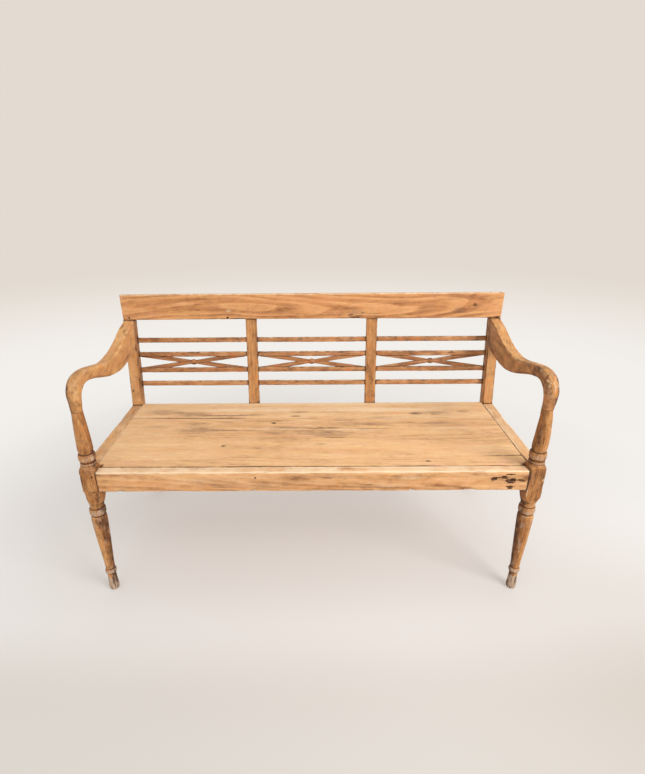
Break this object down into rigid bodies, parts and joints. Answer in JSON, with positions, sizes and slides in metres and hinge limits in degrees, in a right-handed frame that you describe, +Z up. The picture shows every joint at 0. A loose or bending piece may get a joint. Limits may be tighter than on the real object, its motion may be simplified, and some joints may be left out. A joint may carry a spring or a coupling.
{
  "type": "hall bench",
  "caption": "Free-standing wooden hall bench with arms, turned front legs, sabre rear legs and an open slatted back with crossed braces under a plain crest rail.",
  "frame": {"origin": "on the floor under the middle of the bench, at the centre of its bounding box", "axes": "+X along the bench towards the sitter's left, which is the viewer's right from the front; +Y from the front towards the back; +Z up"},
  "size_m": [1.434, 0.6572, 0.8963],
  "materials": {
    "frame_teak": "weathered, open grain, worn edges",
    "crest_teak": "weathered, open grain, worn edges",
    "seat_teak": "pale, worn smooth by use",
    "slat_teak": "darker, dull",
    "bearer_wood": "rough sawn, unfinished",
    "peg_wood": "dark end grain",
    "screw_steel": "dull, aged"
  },
  "bodies": {
    "root": {"bearer_screws": "screw_steel", "crest_pegs": "peg_wood", "crest_rail": "crest_teak", "front_rail": "frame_teak", "front_rail_pegs": "peg_wood", "left_arm": "frame_teak", "left_back_post": "frame_teak", "left_bead_front": "slat_teak", "left_bead_rear": "slat_teak", "left_brace_falling": "slat_teak", "left_brace_rising": "slat_teak", "left_front_leg": "frame_teak", "left_mid_stile": "frame_teak", "left_seat_bearer": "bearer_wood", "left_side_rail": "frame_teak", "left_slat_bottom": "slat_teak", "left_slat_lower": "slat_teak", "left_slat_top": "slat_teak", "left_slat_upper": "slat_teak", "middle_bead_front": "slat_teak", "middle_bead_rear": "slat_teak", "middle_brace_falling": "slat_teak", "middle_brace_rising": "slat_teak", "middle_slat_bottom": "slat_teak", "middle_slat_lower": "slat_teak", "middle_slat_top": "slat_teak", "middle_slat_upper": "slat_teak", "rear_rail": "frame_teak", "right_arm": "frame_teak", "right_back_post": "frame_teak", "right_bead_front": "slat_teak", "right_bead_rear": "slat_teak", "right_brace_falling": "slat_teak", "right_brace_rising": "slat_teak", "right_front_leg": "frame_teak", "right_mid_stile": "frame_teak", "right_seat_bearer": "bearer_wood", "right_side_rail": "frame_teak", "right_slat_bottom": "slat_teak", "right_slat_lower": "slat_teak", "right_slat_top": "slat_teak", "right_slat_upper": "slat_teak", "seat_board_front": "seat_teak", "seat_board_main": "seat_teak", "seat_board_rear": "seat_teak", "side_rail_pegs": "peg_wood"}
  },
  "joints": []
}
